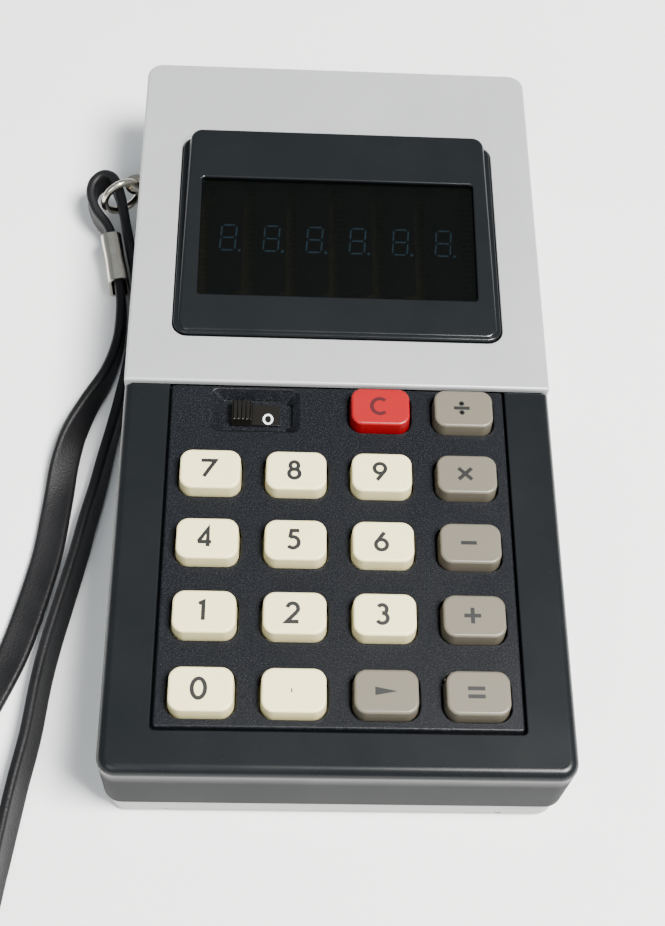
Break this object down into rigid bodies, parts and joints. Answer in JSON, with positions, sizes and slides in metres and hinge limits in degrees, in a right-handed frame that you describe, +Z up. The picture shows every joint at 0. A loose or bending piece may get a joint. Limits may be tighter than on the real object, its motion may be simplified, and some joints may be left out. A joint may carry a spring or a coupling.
{
  "type": "pocket calculator",
  "caption": "Pocket calculator with a sloped display hood, raised sprung keys, a slide switch, a sliding battery door and a wrist strap.",
  "frame": {"origin": "on the table, under the middle of the case, which is its footprint's centre without the strap", "axes": "+X to the right of the keys, +Y from the keys towards the display, +Z up out of the keypad"},
  "size_m": [0.1165, 0.1858, 0.0295],
  "materials": {
    "black_plastic": "semi-gloss moulded black",
    "gloss_black": "gloss black",
    "grey_plastic": "satin light grey",
    "silver_cover": "satin silver",
    "smoked_lens": "smoked clear, polished",
    "cream_key": "satin cream",
    "taupe_key": "satin taupe",
    "red_key": "satin red",
    "steel": "plated steel",
    "chrome": "polished plate",
    "strap": "black grained band",
    "circuit_board": "paper laminate",
    "cell_wrap": "printed wrap",
    "component_sleeve": "plastic sleeve",
    "winding": "taped winding",
    "tube_glass": "clear glass"
  },
  "bodies": {
    "case": {"upper_case": "black_plastic", "lower_case": "grey_plastic", "display_fascia": "silver_cover", "display_bezel": "gloss_black", "display_window": "smoked_lens", "keypad_panel": "black_plastic", "slide_switch": "steel", "battery_tray": "black_plastic", "battery_contact_near": "steel", "battery_contact_far": "steel", "keyboard_board": "circuit_board", "contact_sheet": "steel", "main_board": "circuit_board", "display_board": "circuit_board", "calculator_chip": "black_plastic", "converter_coil": "winding", "capacitor_1": "component_sleeve", "capacitor_2": "component_sleeve", "strap_lug": "chrome", "battery_1": "cell_wrap", "case_screw_1": "steel", "battery_2": "cell_wrap", "case_screw_2": "steel", "battery_3": "cell_wrap", "case_screw_3": "steel", "battery_4": "cell_wrap", "case_screw_4": "steel", "vfd_tube_1": "tube_glass", "vfd_tube_2": "tube_glass", "vfd_tube_3": "tube_glass", "vfd_tube_4": "tube_glass", "vfd_tube_5": "tube_glass", "vfd_tube_6": "tube_glass"},
    "key_0": {"key_0": "cream_key"},
    "key_1": {"key_1": "cream_key"},
    "key_2": {"key_2": "cream_key"},
    "key_3": {"key_3": "cream_key"},
    "key_4": {"key_4": "cream_key"},
    "key_5": {"key_5": "cream_key"},
    "key_6": {"key_6": "cream_key"},
    "key_7": {"key_7": "cream_key"},
    "key_8": {"key_8": "cream_key"},
    "key_9": {"key_9": "cream_key"},
    "key_point": {"key_point": "cream_key"},
    "key_recall": {"key_recall": "taupe_key"},
    "key_equals": {"key_equals": "taupe_key"},
    "key_plus": {"key_plus": "taupe_key"},
    "key_minus": {"key_minus": "taupe_key"},
    "key_multiply": {"key_multiply": "taupe_key"},
    "key_divide": {"key_divide": "taupe_key"},
    "key_clear": {"key_clear": "red_key"},
    "power_switch": {"power_switch_slider": "black_plastic"},
    "battery_door": {"battery_door": "grey_plastic"},
    "strap": {"strap_ring": "chrome", "strap_ferrule": "chrome", "wrist_strap": "strap"}
  },
  "joints": [
    {"name": "key_0_press", "type": "slide", "parent": "case", "child": "key_0", "axis": [0, 0, -1], "range_m": [0, 0.0016], "stiffness_N_per_m": 400},
    {"name": "key_1_press", "type": "slide", "parent": "case", "child": "key_1", "axis": [0, 0, -1], "range_m": [0, 0.0016], "stiffness_N_per_m": 400},
    {"name": "key_2_press", "type": "slide", "parent": "case", "child": "key_2", "axis": [0, 0, -1], "range_m": [0, 0.0016], "stiffness_N_per_m": 400},
    {"name": "key_3_press", "type": "slide", "parent": "case", "child": "key_3", "axis": [0, 0, -1], "range_m": [0, 0.0016], "stiffness_N_per_m": 400},
    {"name": "key_4_press", "type": "slide", "parent": "case", "child": "key_4", "axis": [0, 0, -1], "range_m": [0, 0.0016], "stiffness_N_per_m": 400},
    {"name": "key_5_press", "type": "slide", "parent": "case", "child": "key_5", "axis": [0, 0, -1], "range_m": [0, 0.0016], "stiffness_N_per_m": 400},
    {"name": "key_6_press", "type": "slide", "parent": "case", "child": "key_6", "axis": [0, 0, -1], "range_m": [0, 0.0016], "stiffness_N_per_m": 400},
    {"name": "key_7_press", "type": "slide", "parent": "case", "child": "key_7", "axis": [0, 0, -1], "range_m": [0, 0.0016], "stiffness_N_per_m": 400},
    {"name": "key_8_press", "type": "slide", "parent": "case", "child": "key_8", "axis": [0, 0, -1], "range_m": [0, 0.0016], "stiffness_N_per_m": 400},
    {"name": "key_9_press", "type": "slide", "parent": "case", "child": "key_9", "axis": [0, 0, -1], "range_m": [0, 0.0016], "stiffness_N_per_m": 400},
    {"name": "key_point_press", "type": "slide", "parent": "case", "child": "key_point", "axis": [0, 0, -1], "range_m": [0, 0.0016], "stiffness_N_per_m": 400},
    {"name": "key_recall_press", "type": "slide", "parent": "case", "child": "key_recall", "axis": [0, 0, -1], "range_m": [0, 0.0016], "stiffness_N_per_m": 400},
    {"name": "key_equals_press", "type": "slide", "parent": "case", "child": "key_equals", "axis": [0, 0, -1], "range_m": [0, 0.0016], "stiffness_N_per_m": 400},
    {"name": "key_plus_press", "type": "slide", "parent": "case", "child": "key_plus", "axis": [0, 0, -1], "range_m": [0, 0.0016], "stiffness_N_per_m": 400},
    {"name": "key_minus_press", "type": "slide", "parent": "case", "child": "key_minus", "axis": [0, 0, -1], "range_m": [0, 0.0016], "stiffness_N_per_m": 400},
    {"name": "key_multiply_press", "type": "slide", "parent": "case", "child": "key_multiply", "axis": [0, 0, -1], "range_m": [0, 0.0016], "stiffness_N_per_m": 400},
    {"name": "key_divide_press", "type": "slide", "parent": "case", "child": "key_divide", "axis": [0, 0, -1], "range_m": [0, 0.0016], "stiffness_N_per_m": 400},
    {"name": "key_clear_press", "type": "slide", "parent": "case", "child": "key_clear", "axis": [0, 0, -1], "range_m": [0, 0.0016], "stiffness_N_per_m": 400},
    {"name": "power_switch_slide", "type": "slide", "parent": "case", "child": "power_switch", "axis": [1, 0, 0], "range_m": [0, 0.0051]},
    {"name": "battery_door_slide", "type": "slide", "parent": "case", "child": "battery_door", "axis": [0, -1, 0], "range_m": [0, 0.05]},
    {"name": "strap_swivel", "type": "hinge", "parent": "case", "child": "strap", "pos_m": [-0.0423, 0.0564, 0.0105], "axis": [0, 0, 1], "range_deg": [-60, 0]}
  ]
}
